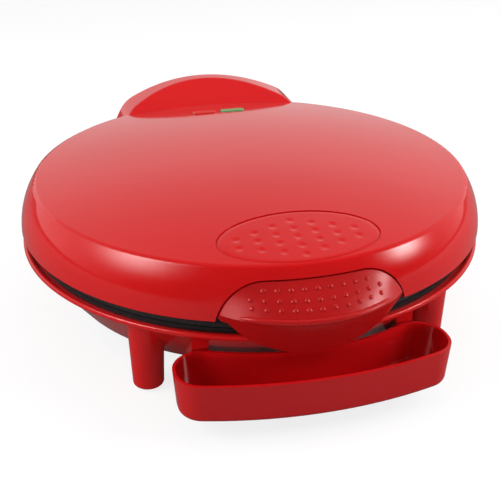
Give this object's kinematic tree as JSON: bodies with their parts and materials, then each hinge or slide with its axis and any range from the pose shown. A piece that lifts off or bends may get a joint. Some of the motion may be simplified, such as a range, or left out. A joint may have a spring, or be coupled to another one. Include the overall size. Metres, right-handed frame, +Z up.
{
  "type": "quesadilla maker",
  "caption": "Round countertop cooker with a hinged domed lid, two ribbed heating plates, a front latch, indicator lights at the hinge hump and a drip tray that slides out",
  "frame": {"origin": "on the table surface, under the middle of the footprint; the centre of the round body is 5.45 mm behind it", "axes": "+Z up, +X to the right as seen from the front, front with latch and tray towards -Y"},
  "size_m": [0.308, 0.3448, 0.1064],
  "materials": {
    "red_body": "glossy moulded red plastic",
    "red_latch": "glossy moulded red plastic, a little darker",
    "red_tray": "glossy moulded red plastic",
    "black_plastic": "matt black heat-proof plastic",
    "black_rubber": "matt black rubber",
    "nonstick": "black non-stick coating on cast aluminium",
    "element_steel": "heat-tinted steel tube",
    "aluminium_sheet": "bright rolled sheet",
    "steel": "zinc-plated steel",
    "white_plastic": "off-white phenolic",
    "lead_sleeve": "glass-fibre sleeve over wire",
    "red_lens": "clear red indicator lens",
    "green_lens": "clear green indicator lens",
    "lamp_glass": "small neon lamps"
  },
  "bodies": {
    "base": {"base_housing": "red_body", "foot_pads": "black_rubber", "bottom_cover": "black_plastic", "bottom_screws": "steel", "lower_plate": "nonstick", "lower_element": "element_steel", "lower_reflector": "aluminium_sheet", "lower_spacers": "steel", "lower_plate_screws": "steel", "hinge_pins": "steel", "hinge_conduit": "black_plastic", "cord_gland": "black_rubber", "terminal_block": "white_plastic", "base_leads": "lead_sleeve", "hinge_lead": "lead_sleeve"},
    "lid": {"lid_housing": "red_body", "lid_liner": "black_plastic", "upper_plate": "nonstick", "upper_element": "element_steel", "upper_reflector": "aluminium_sheet", "upper_spacers": "steel", "upper_plate_screws": "steel", "thermostat": "steel", "thermal_fuse": "steel", "power_lens": "red_lens", "ready_lens": "green_lens", "indicator_lamps": "lamp_glass", "lamp_holder": "white_plastic", "lid_leads": "lead_sleeve", "latch_pin": "steel"},
    "latch": {"latch_handle": "red_latch", "latch_spring": "steel"},
    "tray": {"drip_tray": "red_tray"}
  },
  "joints": [
    {"name": "lid_hinge", "type": "hinge", "parent": "base", "child": "lid", "pos_m": [0, 0.16645, 0.056], "axis": [-1, 0, 0], "range_deg": [0, 100]},
    {"name": "latch_pivot", "type": "hinge", "parent": "lid", "child": "latch", "pos_m": [0, -0.14405, 0.0705], "axis": [-1, 0, 0], "range_deg": [0, 15], "stiffness_Nm_per_rad": 0.15, "springref_deg": -5.73, "deforming": ["latch_spring"]},
    {"name": "tray_slide", "type": "slide", "parent": "base", "child": "tray", "axis": [0, -1, 0], "range_m": [0, 0.06]}
  ]
}
